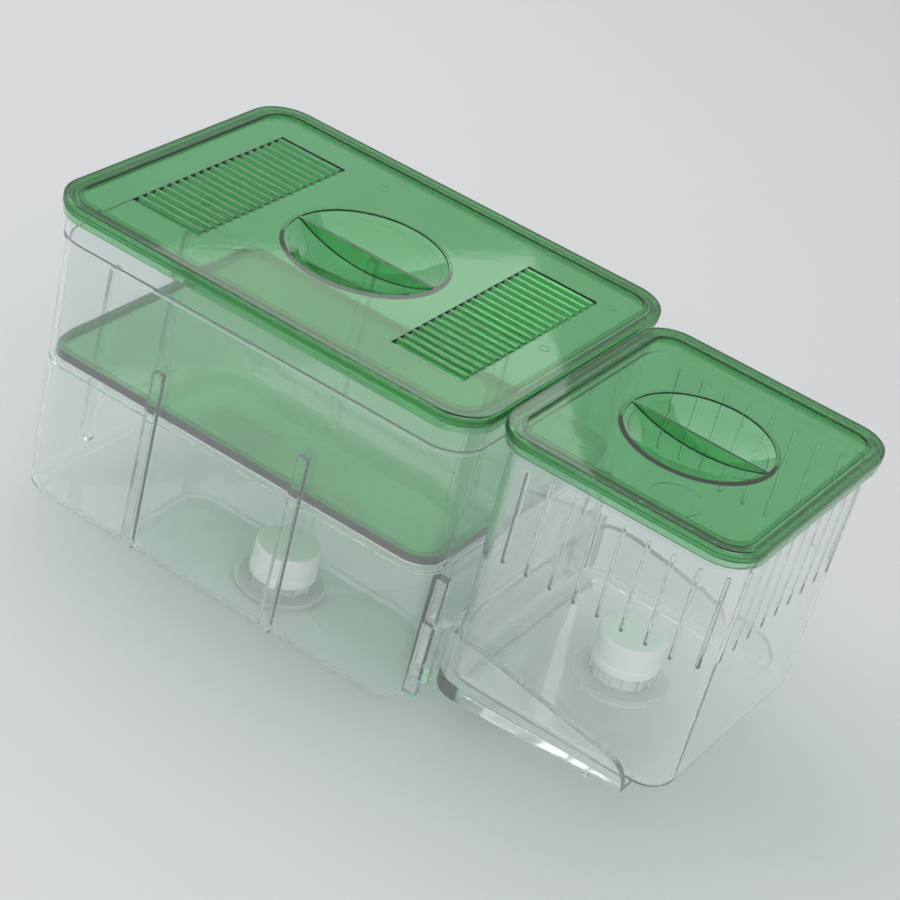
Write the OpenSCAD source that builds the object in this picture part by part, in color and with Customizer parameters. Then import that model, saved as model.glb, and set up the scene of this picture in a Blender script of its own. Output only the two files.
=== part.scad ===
// Two-chamber fish breeding box: a large clear tub and a small slotted tub in a hanging cradle,
// each with a lift-off lid, plus a separator tray and a drain in each floor.
// The origin is under the middle of the whole object, with +Z up and the front facing -Y.

/* [Large box] */
// Length of the large lid
lid_l = 200; // [180:1:240]
// Width of the large lid
lid_w = 149; // [145:1:180]
// Corner radius of the large lid
lid_r = 17.2; // [12:0.2:22]
// Height from the surface to the top of the lids
box_h = 135; // [125:1:160]
// Height of the thicker collar round the top of the large tub, lid included
collar_h = 18; // [12:0.5:24]
// How far each wall of the large tub leans in from collar to floor
lean = 1.9; // [0.5:0.1:2.5]
// Radius of the large tub's bottom edge
edge_r = 6; // [3:0.5:7]

/* [Small box] */
// Length of the small lid
small_l = 107.3; // [98:0.1:140]
// Width of the small lid
small_w = 123; // [112:1:135]
// Corner radius of the small lid
small_r = 15.5; // [11:0.5:20]
// Height of the small tub's underside above the surface
small_lift = 22.4; // [21.8:0.1:30]
// How far the small box sits towards the front of the large one
small_shift = 3.5; // [0:0.5:5]
// Height of the collar round the top of the small tub, lid included
small_collar_h = 9.6; // [9:0.2:14]
// How far each wall of the small tub leans in from collar to floor
small_lean = 1.6; // [0.5:0.1:2]
// Radius of the small tub's bottom edge
small_edge_r = 5; // [3:0.5:6]
// Gap between the two lids
lid_gap = 0.7; // [0.5:0.1:3]

/* [Walls and fits] */
// Wall thickness of both tubs
wall = 2.1; // [1.6:0.1:2.6]
// Floor thickness of both tubs
floor_t = 2.2; // [1.8:0.1:3]
// How far the collar stands out from the wall below it
collar_step = 0.9; // [0.5:0.1:1.2]
// Clearance between a lid and its tub
lid_fit = 0.3; // [0.2:0.05:0.5]
// Clearance between the cradle and what it holds or hangs on
cradle_fit = 0.3; // [0.2:0.05:0.4]

/* [Lids] */
// Width of the raised rim round each lid
rim_w = 7.4; // [6.5:0.1:9]
// Height of the rim above the lid's panel
rim_h = 1.3; // [0.6:0.1:1.8]
// Thickness of the lid's panel and rim
panel_t = 1.8; // [1.4:0.1:2.2]
// Thickness of the lid's skirt
skirt_t = 1.8; // [1.4:0.1:2.2]
// Height of the skirt from its lower edge to the lid's top
skirt_h = 7.5; // [6.5:0.1:9]
// Height of the rim's wider upper band
band_h = 3.7; // [3:0.1:4.5]
// How far the upper band stands out from the skirt
band_step = 0.5; // [0.2:0.1:0.8]
// Radius that rounds the lid's top edge
crown_r = 1.2; // [0.6:0.1:1.6]
// Radius of the finger recess in the large lid
recess_r = 32.5; // [26:0.5:36]
// Radius of the finger recess in the small lid
small_recess_r = 28.9; // [22:0.5:32]
// Depth of the large lid's recess below its panel
recess_d = 8.5; // [6:0.5:10]
// Depth of the small lid's recess below its panel
small_recess_d = 6.5; // [5:0.5:9]
// Thickness of the grip fin across a recess
fin_t = 1.5; // [1.2:0.1:2.5]

/* [Vent grilles] */
// Length of each grille slot
slot_l = 32.5; // [24:0.5:36]
// Width of each grille slot
slot_w = 2.3; // [1.6:0.1:2.8]
// Distance from one grille slot to the next
slot_pitch = 5; // [4.5:0.1:5.4]
// Number of slots in each grille
slot_count = 20; // [12:1:20]
// Distance from the lid's middle to the middle of a grille
grille_x = 61.8; // [58:0.2:64]
// Radius of the rounded bars between the slots
bar_r = 1.2; // [0.9:0.1:1.3]

/* [Water slots of the small tub] */
// Width of each water slot
water_w = 1.4; // [1:0.1:2]
// Length of each water slot
water_l = 40; // [30:1:50]
// Depth of the slots' upper ends below the lid's top
water_top = 14; // [13:0.5:18]
// Number of slots in the front and the back wall
water_front = 8; // [6:1:8]
// Distance between the slots of the front and the back wall
water_front_pitch = 10.3; // [9:0.1:10.5]
// Number of slots in the end wall
water_side = 9; // [7:1:9]
// Distance between the slots of the end wall
water_side_pitch = 10.9; // [9:0.1:11]

/* [Rails] */
// Width of a hanging rail at its face
rail_w = 4.8; // [4:0.1:6]
// Width of a hanging rail at its root
rail_root = 3.8; // [3:0.1:3.9]
// How far a rail stands out from the collar's outline
rail_out = 1.9; // [1.5:0.1:2.1]
// Height of the rails' upper ends above the surface
rail_top = 86; // [75:1:100]
// Height of the rails' lower ends above the surface
rail_foot = 3; // [2:0.5:8]
// Distance of the front and back rails from the large box's middle
rail_x = 34.7; // [25:0.1:60]
// Distance of the left end's rails from the large box's middle
rail_y = 23; // [15:0.5:45]
// How far the cradle's rails stand out from the collar's outline
hook_rail_out = 2.7; // [2.4:0.1:2.8]
// Height of the upper ends of the cradle's rails
hook_rail_top = 62; // [50:1:70]
// Height of the lower ends of the cradle's rails
hook_rail_foot = 8; // [6:0.5:12]
// Distance of the cradle's rails from the sides of the small lid
hook_in = 3.9; // [3.5:0.1:12]
// Least distance of the cradle's rails from the sides of the large lid
corner_in = 13.4; // [12:0.1:20]

/* [Separator tray] */
// Height of the ledge in the large tub that carries the tray
shelf_z = 65; // [50:1:80]
// Width of that ledge
shelf_w = 1.6; // [1.2:0.1:2]
// Height of that ledge
shelf_h = 3; // [2:0.5:6]
// Clearance between the tray and the tub's wall
tray_fit = 0.8; // [0.5:0.1:1]
// Clearance under the tray on its ledge
tray_seat = 0.3; // [0.2:0.05:0.4]
// Height of the tray's rim
tray_rim_h = 3.7; // [3:0.1:6]
// Width of the tray's rim
tray_rim_w = 3.6; // [2.5:0.1:6]
// Thickness of the tray's plate
tray_t = 1.8; // [1.4:0.1:2.4]

/* [Cradle] */
// Thickness of the cradle's walls
cradle_t = 3.2; // [2.4:0.1:3.3]
// Height of the cradle's upper edge at the hooks
cradle_top = 43; // [40:0.5:48]
// Height of the arms' upper edge at their free ends
arm_top = 32.5; // [30:0.5:36]
// Height of the cradle's lower edge at the hooks
cradle_foot = 16.5; // [14:0.5:17]
// Height of the arms' lower edge at their free ends
arm_foot = 19.8; // [18:0.1:20]
// Distance of the arms' free ends from the small tub's middle
arm_reach = 35.6; // [25:0.5:40]
// Radius that rounds the arms' free ends
arm_r = 11; // [8:0.5:12]
// Radius that rounds the lower corners at the hooks
cradle_r = 7; // [4:0.5:9]
// Length of the level upper edge beside the hooks
shoulder = 20; // [12:1:30]
// Distance of the foot pips from the small tub's middle
pip_x = 20.6; // [10:0.2:24]
// Radius of the foot pips
pip_r = 1.3; // [0.8:0.1:1.4]
// Depth of the foot pips below the arms
pip_h = 1.5; // [1:0.1:2]
// Width of the ledge that the small tub stands on
ledge_w = 8; // [7:0.5:12]
// Width of the hook plates inside the rails
hook_w = 11; // [6:0.5:14]
// Height of the hooks
hook_h = 24.5; // [20:0.5:26]
// Thickness of the hook cheeks outside the rails
cheek_t = 2; // [1.6:0.1:2.4]
// How far the cradle slides up its rails
cradle_travel = 45; // [42:1:50]

/* [Drains] */
// Radius of a drain's flange
flange_r = 19; // [17:0.5:22]
// Thickness of a drain's flange
flange_t = 1.4; // [1:0.1:1.4]
// Radius of a drain's bore
bore_r = 8.5; // [6:0.5:9]
// Outer radius of a drain's neck
neck_r = 11.6; // [11:0.1:12.4]
// Height of a drain's neck above its tub's floor
neck_h = 17; // [14:0.5:20]
// Height of the ribbed stretch of the neck
rib_h = 5.5; // [4:0.5:7]
// Width of a rib
rib_w = 1.6; // [1.2:0.1:2.4]
// How far the ribs stand out from the neck
rib_out = 1.4; // [1:0.1:1.8]
// Number of ribs round the neck
rib_count = 12; // [8:1:16]
// Outer radius of a drain's cap
cap_r = 13.6; // [13.5:0.1:15]
// Height of a drain's cap
cap_h = 13.5; // [12:0.5:16]
// Thickness of the cap's wall and top
cap_t = 1.6; // [1.2:0.1:1.6]
// Step round the top edge of a cap
cap_edge = 1; // [0.4:0.1:1.2]
// Thickness of the sealing washers
washer_t = 0.7; // [0.5:0.1:0.8]
// How far a washer stays inside the flange's edge
washer_in = 1; // [0.5:0.1:2]
// Height of the large drain's foot above the surface
foot_lift = 0.2; // [0.1:0.1:0.5]
// Running clearance round the necks
neck_fit = 0.25; // [0.2:0.05:0.3]
// Distance of the large drain from the large box's middle, along the box
drain_x = 18; // [0:0.5:40]
// Distance of the large drain from the front of the large lid
drain_in = 38; // [36:0.5:74]

/* [Hidden] */
$fn = 64;

eps = 0.01;
cut = 1;
clear_blue = [0.86, 0.93, 0.95, 0.35];
lid_green = [0.16, 0.62, 0.34, 0.6];
milky = [0.93, 0.94, 0.92, 0.8];
seal_grey = [0.8, 0.82, 0.82, 0.9];

total_l = lid_l + lid_gap + small_l;
big_x = lid_l / 2 - total_l / 2;
small_x = total_l / 2 - small_l / 2;
small_y = -small_shift;
hook_y = min(small_w / 2 - hook_in, lid_w / 2 - small_shift - corner_in);
drain_y = lid_w / 2 - drain_in;

// Distance from a lid's outline to the collar inside its skirt
collar_in = band_step + skirt_t + lid_fit;
// Distance from a lid's outline to its panel, clear of the tub's wall
panel_in = collar_in + collar_step + wall + lid_fit;
tub_top = box_h - panel_t - lid_fit;
panel_top = box_h - rim_h;
panel_under = panel_top - panel_t;
collar_z = box_h - collar_h;
small_collar_z = box_h - small_collar_h;
small_floor = small_lift + floor_t;

// Inset of the large tub's outer wall from the lid's outline at a height
function wall_in(z) = collar_in + collar_step + lean * (collar_z - z) / collar_z;
// The same for the small tub
function small_in(z) =
    collar_in + collar_step + small_lean * (small_collar_z - z) / (small_collar_z - small_lift);

// Corner points of a rounded rectangle, with each corner as an arc
function rounded(l, w, r, steps = 8) = [
    for (c = [[1, 1, 0], [-1, 1, 90], [-1, -1, 180], [1, -1, 270]])
        for (k = [0:steps])
            let (a = c[2] + 90 * k / steps)
                [c[0] * (l / 2 - r) + r * cos(a), c[1] * (w / 2 - r) + r * sin(a)]
];

// A level plate whose outline lies inset from a lid's outline
module plate(l, w, r, inset, z, t = eps)
    translate([0, 0, z])
        linear_extrude(t)
            polygon(rounded(l - 2 * inset, w - 2 * inset, max(r - inset, 2)));

// A block that leans in from z1 down to z0 and is rounded where it meets its floor
module leaning_block(l, w, r, in_top, in_floor, z0, z1, round_r)
    hull() {
        plate(l, w, r, in_top, z1 - eps);
        for (a = [0:22.5:90])
            plate(l, w, r, in_floor + round_r * (1 - cos(a)), z0 + round_r * (1 - sin(a)));
    }

// Dovetail section of a hanging rail on a wall that faces -Y, grown by a clearance for its channel
module rail_section(out, inner, grow = 0) {
    face = rail_w / 2 + grow;
    root = rail_root / 2 + grow;
    polygon([[-face, -out - grow], [face, -out - grow], [root, collar_step], [root, inner],
             [-root, inner], [-root, collar_step]]);
}

module rail(out, foot, top)
    translate([0, 0, foot])
        linear_extrude(top - foot)
            rail_section(out, wall_in(0));

module large_rails() {
    front = lid_w / 2 - collar_in;
    end = lid_l / 2 - collar_in;
    for (side = [0, 180])
        rotate(side)
            for (x = [-rail_x, rail_x])
                translate([x, -front, 0])
                    rail(rail_out, rail_foot, rail_top);
    for (y = [-rail_y, rail_y])
        translate([-end, y, 0])
            rotate(-90)
                rail(rail_out, rail_foot, rail_top);
    for (y = [-hook_y, hook_y])
        translate([end, small_y + y, 0])
            rotate(90)
                rail(hook_rail_out, hook_rail_foot, hook_rail_top);
}

// Ring inside the large tub that carries the separator tray
module tray_ledge() {
    inset = wall_in(shelf_z) + wall;
    difference() {
        plate(lid_l, lid_w, lid_r, inset - wall / 2, shelf_z - shelf_h, shelf_h);
        plate(lid_l, lid_w, lid_r, inset + shelf_w, shelf_z - shelf_h - cut, shelf_h + 2 * cut);
    }
}

module large_tub()
    color(clear_blue)
        translate([big_x, 0, 0]) {
            difference() {
                union() {
                    leaning_block(lid_l, lid_w, lid_r, wall_in(collar_z), wall_in(0), 0, collar_z + eps, edge_r);
                    plate(lid_l, lid_w, lid_r, collar_in, collar_z, tub_top - collar_z);
                    large_rails();
                }
                leaning_block(lid_l, lid_w, lid_r, wall_in(collar_z) + wall, wall_in(0) + wall,
                              floor_t, tub_top + cut, edge_r - wall);
                translate([drain_x, -drain_y, -cut])
                    cylinder(r = neck_r + neck_fit, h = floor_t + 2 * cut);
            }
            tray_ledge();
        }

// Shell of a lid, with its band, skirt, rim and lowered panel
module lid_shell(l, w, r) {
    difference() {
        union() {
            hull() {
                plate(l, w, r, 0, box_h - band_h, band_h - crown_r);
                for (a = [45, 90])
                    plate(l, w, r, crown_r * (1 - cos(a)), box_h - eps - crown_r * (1 - sin(a)));
            }
            plate(l, w, r, band_step, box_h - skirt_h, skirt_h - band_h + eps);
        }
        plate(l, w, r, band_step + skirt_t, box_h - skirt_h - cut, skirt_h - panel_t + cut);
        plate(l, w, r, rim_w, panel_top, rim_h + cut);
    }
    plate(l, w, r, panel_in, panel_under, panel_t + eps);
}

// Solid of revolution of a shallow round bowl, closed at the panel's level
module bowl(r, depth, top, lip = 0) {
    ball = (r * r + depth * depth) / (2 * depth);
    half = asin(r / ball);
    rotate_extrude()
        polygon(concat(
            [[0, top + lip], [r, top + lip]],
            [for (k = [0:10]) let (a = half * (1 - k / 10))
                [ball * sin(a), top - depth + ball * (1 - cos(a))]]));
}

// A lid's panel with its finger recess and the grip fin across it
module recessed_lid(l, w, r, hole_r, depth) {
    difference() {
        union() {
            lid_shell(l, w, r);
            bowl(hole_r + panel_t, depth + panel_t, panel_top);
        }
        bowl(hole_r, depth, panel_top, cut);
    }
    intersection() {
        translate([-hole_r, -fin_t / 2, panel_top - depth - panel_t / 2])
            cube([2 * hole_r, fin_t, depth + panel_t / 2]);
        bowl(hole_r + panel_t / 2, depth + panel_t / 2, panel_top);
    }
}

module grille_slots() {
    span = slot_pitch * (slot_count - 1);
    for (k = [0:slot_count - 1])
        translate([-slot_l / 2, slot_pitch * k - span / 2 - slot_w / 2, panel_under - cut])
            cube([slot_l, slot_w, panel_t + 2 * cut]);
}

module grille_bars() {
    span = slot_pitch * slot_count;
    for (k = [0:slot_count])
        translate([-slot_l / 2, slot_pitch * k - span / 2, panel_top - bar_r / 3])
            rotate([0, 90, 0])
                cylinder(r = bar_r, h = slot_l, $fn = 24);
}

module large_lid()
    color(lid_green)
        translate([big_x, 0, 0]) {
            difference() {
                recessed_lid(lid_l, lid_w, lid_r, recess_r, recess_d);
                for (x = [-grille_x, grille_x])
                    translate([x, 0, 0])
                        grille_slots();
            }
            for (x = [-grille_x, grille_x])
                translate([x, 0, 0])
                    grille_bars();
        }

module small_lid()
    color(lid_green)
        translate([small_x, small_y, 0])
            recessed_lid(small_l, small_w, small_r, small_recess_r, small_recess_d);

module separator_tray() {
    inset = wall_in(shelf_z) + wall + tray_fit;
    z0 = shelf_z + tray_seat;
    color(lid_green)
        translate([big_x, 0, 0])
            difference() {
                plate(lid_l, lid_w, lid_r, inset, z0, tray_rim_h);
                plate(lid_l, lid_w, lid_r, inset + tray_rim_w, z0 + tray_t, tray_rim_h);
            }
}

// Upright slots through the small tub's walls and rounded corners
module water_slots() {
    z0 = box_h - water_top - water_l;
    for (k = [0:water_front - 1])
        translate([water_front_pitch * (k - (water_front - 1) / 2) - water_w / 2, -small_w, z0])
            cube([water_w, 2 * small_w, water_l]);
    for (k = [0:water_side - 1])
        translate([0, water_side_pitch * (k - (water_side - 1) / 2) - water_w / 2, z0])
            cube([small_l, water_w, water_l]);
    for (side = [-1, 1])
        translate([small_l / 2 - small_r, side * (small_w / 2 - small_r), z0])
            rotate(45 * side)
                translate([0, -water_w / 2, 0])
                    cube([small_r, water_w, water_l]);
}

module small_tub()
    color(clear_blue)
        translate([small_x, small_y, 0])
            difference() {
                union() {
                    leaning_block(small_l, small_w, small_r, small_in(small_collar_z), small_in(small_lift),
                                  small_lift, small_collar_z + eps, small_edge_r);
                    plate(small_l, small_w, small_r, collar_in, small_collar_z, tub_top - small_collar_z);
                }
                leaning_block(small_l, small_w, small_r, small_in(small_collar_z) + wall,
                              small_in(small_lift) + wall, small_floor, tub_top + cut, small_edge_r - wall);
                water_slots();
                translate([0, 0, small_lift - cut])
                    cylinder(r = neck_r + neck_fit, h = floor_t + 2 * cut);
            }

// Side view of the cradle, from the hooks on the left to the arms' free ends
module cradle_side(left, right)
    translate([0, small_w, 0])
        rotate([90, 0, 0])
            linear_extrude(2 * small_w)
                polygon(concat(
                    [for (a = [180:15:270])
                        [left + cradle_r * (1 + cos(a)), cradle_foot + cradle_r * (1 + sin(a))]],
                    [[right, arm_foot]],
                    [for (a = [0:15:75]) [right - arm_r * (1 - cos(a)), arm_top - arm_r * (1 - sin(a))]],
                    [[left + shoulder, cradle_top], [left, cradle_top]]));

module cradle() {
    inset = small_in(cradle_top) - cradle_fit;
    left = -(small_l / 2 - inset + cradle_t);
    big_face = big_x + lid_l / 2 - small_x;
    hook_left = big_face - wall_in(cradle_top + cradle_travel) + cradle_fit;
    color(clear_blue)
        translate([small_x, small_y, 0]) {
            intersection() {
                difference() {
                    plate(small_l, small_w, small_r, inset - cradle_t, 0, box_h);
                    plate(small_l, small_w, small_r, inset, small_lift - cradle_fit, box_h);
                    plate(small_l, small_w, small_r, inset + ledge_w, -cut, box_h);
                }
                cradle_side(left, arm_reach);
            }
            for (side = [-1, 1]) {
                translate([0, side * hook_y, cradle_top - hook_h])
                    hook(side, hook_left, left + cradle_t / 2, big_face - collar_in);
                translate([pip_x, side * (small_w / 2 - inset + cradle_t / 2), cradle_foot + pip_h / 2])
                    cylinder(r = pip_r, h = 2 * pip_h + cradle_t / 2, $fn = 24);
            }
        }
}

// Hook that closes round one rail, from the gap beside the large tub into the cradle's end wall
module hook(side, hook_left, hook_right, rail_base) {
    outer = rail_w / 2 + cradle_fit + cheek_t;
    difference() {
        translate([hook_left, side > 0 ? -hook_w : -outer, 0])
            cube([hook_right - hook_left, hook_w + outer, hook_h]);
        translate([rail_base, 0, -cut])
            rotate(90)
                linear_extrude(hook_h + 2 * cut)
                    rail_section(hook_rail_out, wall_in(0), cradle_fit);
    }
}

// Flanged drain seat whose neck stands on the floor at z = 0, with the flange above or below the floor
module drain_seat(flange_z, foot_z) {
    rib_z = max(flange_z + flange_t, neck_fit);
    difference() {
        union() {
            translate([0, 0, foot_z])
                cylinder(r = neck_r, h = neck_h - foot_z);
            translate([0, 0, flange_z])
                cylinder(r = flange_r, h = flange_t);
            for (k = [0:rib_count - 1])
                rotate(360 * k / rib_count)
                    translate([bore_r + eps, -rib_w / 2, rib_z])
                        cube([neck_r + rib_out - bore_r - eps, rib_w, rib_h - rib_z]);
        }
        translate([0, 0, foot_z - cut])
            cylinder(r = bore_r, h = neck_h - foot_z + 2 * cut);
    }
}

// Cap that stands over a neck, from the top of its ribs up
module drain_cap()
    translate([0, 0, rib_h + neck_fit])
        difference() {
            union() {
                cylinder(r = cap_r, h = cap_h - cap_edge);
                cylinder(r = cap_r - cap_edge, h = cap_h);
            }
            translate([0, 0, -cut])
                cylinder(r = neck_r + neck_fit, h = cap_h - cap_t + cut);
        }

module drain_washer()
    difference() {
        cylinder(r = flange_r - washer_in, h = washer_t);
        translate([0, 0, -cut])
            cylinder(r = neck_r + neck_fit, h = washer_t + 2 * cut);
    }

module at_large_drain()
    translate([big_x + drain_x, -drain_y, floor_t])
        children();

module at_small_drain()
    translate([small_x, small_y, small_floor])
        children();

module large_drain_washer()
    color(seal_grey)
        at_large_drain()
            drain_washer();

module large_drain_seat()
    color(milky)
        at_large_drain()
            drain_seat(washer_t, foot_lift - floor_t);

module large_drain_cap()
    color(milky)
        at_large_drain()
            drain_cap();

module small_drain_washer()
    color(seal_grey)
        at_small_drain()
            translate([0, 0, -floor_t - washer_t])
                drain_washer();

module small_drain_seat() {
    foot_z = -floor_t - washer_t - flange_t;
    color(milky)
        at_small_drain()
            drain_seat(foot_z, foot_z);
}

module small_drain_cap()
    color(milky)
        at_small_drain()
            drain_cap();

large_tub();
large_lid();
separator_tray();
large_drain_seat();
large_drain_washer();
large_drain_cap();
cradle();
small_tub();
small_lid();
small_drain_seat();
small_drain_washer();
small_drain_cap();
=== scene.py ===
"""Two-chamber fish breeding box: clear tubs and cradle, green lids and tray, milky drains, pale floor."""

import math

import bmesh
import bpy
from mathutils import Matrix, Vector


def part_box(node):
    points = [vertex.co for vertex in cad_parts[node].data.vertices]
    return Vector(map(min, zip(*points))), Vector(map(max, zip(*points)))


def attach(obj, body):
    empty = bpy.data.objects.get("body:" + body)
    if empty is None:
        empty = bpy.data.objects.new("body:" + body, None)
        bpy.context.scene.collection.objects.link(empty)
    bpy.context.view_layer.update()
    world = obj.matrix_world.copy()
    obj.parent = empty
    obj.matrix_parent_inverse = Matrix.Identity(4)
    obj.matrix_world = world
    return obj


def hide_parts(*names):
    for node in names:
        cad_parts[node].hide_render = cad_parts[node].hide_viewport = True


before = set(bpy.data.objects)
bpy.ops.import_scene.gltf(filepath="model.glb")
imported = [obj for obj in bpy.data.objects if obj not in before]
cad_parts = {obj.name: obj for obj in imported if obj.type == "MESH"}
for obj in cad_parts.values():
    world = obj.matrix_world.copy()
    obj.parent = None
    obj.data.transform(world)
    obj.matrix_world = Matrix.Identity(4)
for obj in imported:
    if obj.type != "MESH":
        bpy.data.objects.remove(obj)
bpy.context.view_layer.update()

MM = 0.001
NEAR = 0.01 * MM
FIT = 0.3 * MM
X_AXIS = Vector((1, 0, 0))
Y_AXIS = Vector((0, 1, 0))
Z_AXIS = Vector((0, 0, 1))

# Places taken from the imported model
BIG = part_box("large_lid")
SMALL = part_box("small_lid")
BIG_MID = (BIG[0] + BIG[1]) / 2
SMALL_MID = (SMALL[0] + SMALL[1]) / 2
TOP = BIG[1].z
SMALL_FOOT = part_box("small_tub")[0].z
BIG_DRAIN = (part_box("large_drain_cap")[0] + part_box("large_drain_cap")[1]) / 2
SMALL_DRAIN = (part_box("small_drain_cap")[0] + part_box("small_drain_cap")[1]) / 2

# Lids
BIG_RADIUS = 17.2 * MM
SMALL_RADIUS = 15.5 * MM
RIM_W = 7.4 * MM
RIM_H = 1.3 * MM
PANEL_T = 1.8 * MM
SKIRT_H = 7.5 * MM
BAND_H = 3.7 * MM
BAND_STEP = 0.5 * MM
CROWN = 1.2 * MM
CROWN_STEPS = 4
RIM_SLOPE = 0.2 * MM
CORNER_STEPS = 12
RECESS_R = 32.5 * MM
SMALL_RECESS_R = 28.9 * MM
RECESS_D = 8.5 * MM
SMALL_RECESS_D = 6.5 * MM
RECESS_LIP = 0.8 * MM
RECESS_SIDES = 72
RECESS_SPARE = 4 * MM
BOWL_RINGS = 14
FIN_T = 1.5 * MM
FIN_DROP = 0.3 * MM
FIN_ROOT = 0.6 * MM
FIN_SIDES = 360
SKIRT_T = 0.8 * MM
SKIRT_LEDGE = 0.6 * MM
SKIRT_SLOPE = 0.2 * MM
LID_ROUND = 0.2 * MM
PANEL_TOP = TOP - RIM_H
PANEL_UNDER = PANEL_TOP - PANEL_T

# Faint moulded rings on the lids: place from the lid's middle, radius and half thickness, in mm
BIG_RINGS = ((84, -1.5, 2, 0.3), (-27, 50.5, 2, 0.3), (84, 50, 2, 0.3))
SMALL_RINGS = ((15.3, -46, 10.1, 0.45),)

# Vent grilles
SLOT_L = 32.5 * MM
SLOT_W = 2.3 * MM
SLOT_PITCH = 5 * MM
SLOT_COUNT = 20
GRILLE_X = 61.8 * MM
GRILLE_SPARE = 1 * MM
RIB_RISE = 0.9 * MM
RIB_END = 0.4 * MM
RIB_HALF = (SLOT_PITCH - SLOT_W) / 2
# Cuts along a rib, by shares of its half width, and lifts of its middle, by a share and a part of the rise
RIB_CUTS = (-1, -0.8, -0.5, 0, 0.5, 0.8, 1)
RIB_LIFTS = ((0.85, 0.6), (0.55, 0.266), (0.1, 0.134))
WINDOW_X = SLOT_L / 2
WINDOW_Y = SLOT_PITCH * (SLOT_COUNT + 1) / 2

# Tubs
WALL = 2.1 * MM
FLOOR_T = 2.2 * MM
COLLAR_IN = 2.6 * MM
COLLAR_STEP = 0.9 * MM
TUB_TOP = TOP - PANEL_T - FIT
COLLAR_Z = TOP - 18 * MM
LEAN = 1.9 * MM
EDGE_R = 6 * MM
SMALL_COLLAR_Z = TOP - 9.6 * MM
SMALL_LEAN = 1.6 * MM
SMALL_EDGE_R = 5 * MM
EDGE_STEPS = 6
SMALL_CORNER_STEPS = 13
BIG_ROUND = 0.3 * MM
SMALL_ROUND = 0.14 * MM
SHELF_Z = 65 * MM
SHELF_W = 1.6 * MM
SHELF_H = 3 * MM
TRAY_RIM = 3.6 * MM
TRAY_ROUND = 0.4 * MM

# Water slots
WATER_W = 1.4 * MM
WATER_L = 40 * MM
WATER_TOP = TOP - 14 * MM
WATER_FRONT = 8
WATER_FRONT_PITCH = 10.3 * MM
WATER_SIDE = 9
WATER_SIDE_PITCH = 10.9 * MM

# Rails
RAIL_W = 4.8 * MM
RAIL_ROOT = 3.8 * MM
RAIL_OUT = 1.9 * MM
RAIL_TOP = 86 * MM
RAIL_FOOT = 3.6 * MM
RAIL_X = 34.7 * MM
RAIL_Y = 23 * MM
HOOK_RAIL_OUT = 2.7 * MM
HOOK_RAIL_TOP = 62 * MM
HOOK_RAIL_FOOT = 8 * MM
HOOK_Y = 57.6 * MM
RAIL_SUNK = 3.4 * MM
RAIL_CURL = 4.4 * MM

# Cradle
CRADLE_T = 3.2 * MM
CRADLE_TOP = 43 * MM
ARM_TOP = 32.5 * MM
CRADLE_FOOT = 16.5 * MM
ARM_FOOT = 19.8 * MM
ARM_REACH = 35.6 * MM
ARM_R = 11 * MM
CRADLE_R = 7 * MM
SHOULDER = 20 * MM
LEDGE_W = 8 * MM
HOOK_W = 11 * MM
HOOK_H = 24.5 * MM
CHEEK_T = 2 * MM
CRADLE_TRAVEL = 45 * MM
PIP_X = 20.6 * MM
PIP_R = 1.3 * MM
PIP_H = 1.5 * MM
PIP_SIDES = 24
CRADLE_ROUND = 0.25 * MM

# Drains
FLANGE_R = 19 * MM
FLANGE_T = 1.4 * MM
BORE_R = 8.5 * MM
NECK_R = 11.6 * MM
NECK_H = 17 * MM
NECK_FIT = 0.25 * MM
RIB_H = 5.5 * MM
RIB_W = 1.6 * MM
RIB_OUT = 1.4 * MM
RIB_COUNT = 12
CAP_R = 13.6 * MM
CAP_H = 13.5 * MM
CAP_T = 1.6 * MM
CAP_EDGE = 1 * MM
CAP_BAND = 3 * MM
CAP_DISH = 0.4 * MM
CAP_DISH_RIM = 4 * MM
CAP_DISH_SLOPE = 0.6 * MM
CAP_ROUND = 0.25 * MM
BEAD = 1.4 * MM
BEAD_DIP = 0.4 * MM
WASHER_T = 0.7 * MM
SEAT_ROUND = 0.15 * MM
FOOT_LIFT = 0.2 * MM
TURN_STEPS = 72


def wall_in(z):
    """Inset of the large tub's outer wall from the lid's outline at a height."""
    return COLLAR_IN + COLLAR_STEP + LEAN * (COLLAR_Z - z) / COLLAR_Z


def small_in(z):
    """The same for the small tub."""
    return COLLAR_IN + COLLAR_STEP + SMALL_LEAN * (SMALL_COLLAR_Z - z) / (SMALL_COLLAR_Z - SMALL_FOOT)


# Modelling by hand: one object in edit mode at a time

def only(piece):
    bpy.ops.object.select_all(action="DESELECT")
    piece.select_set(True)
    bpy.context.view_layer.objects.active = piece


def edit(piece):
    only(piece)
    bpy.ops.object.mode_set(mode="EDIT")


def leave():
    bpy.ops.object.mode_set(mode="OBJECT")


def settle(name):
    """Names the new primitive and puts its place and size into its mesh."""
    piece = bpy.context.object
    piece.name = name
    bpy.ops.object.transform_apply(location=True, rotation=True, scale=True)
    return piece


def block(name, low, high):
    """A box from corner to corner."""
    low, high = Vector(low), Vector(high)
    bpy.ops.object.select_all(action="DESELECT")
    bpy.ops.mesh.primitive_cube_add(size=1, location=(low + high) / 2, scale=high - low)
    return settle(name)


def swing(piece, about, angle):
    """Turns a finished shape about an upright line."""
    turn = Matrix.Rotation(angle, 4, "Z")
    piece.data.transform(Matrix.Translation(about) @ turn @ Matrix.Translation(-about))


def place(element):
    """Middle of a vertex, an edge or a face."""
    if isinstance(element, bmesh.types.BMVert):
        return element.co
    if isinstance(element, bmesh.types.BMEdge):
        return (element.verts[0].co + element.verts[1].co) / 2
    return element.calc_center_median()


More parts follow.
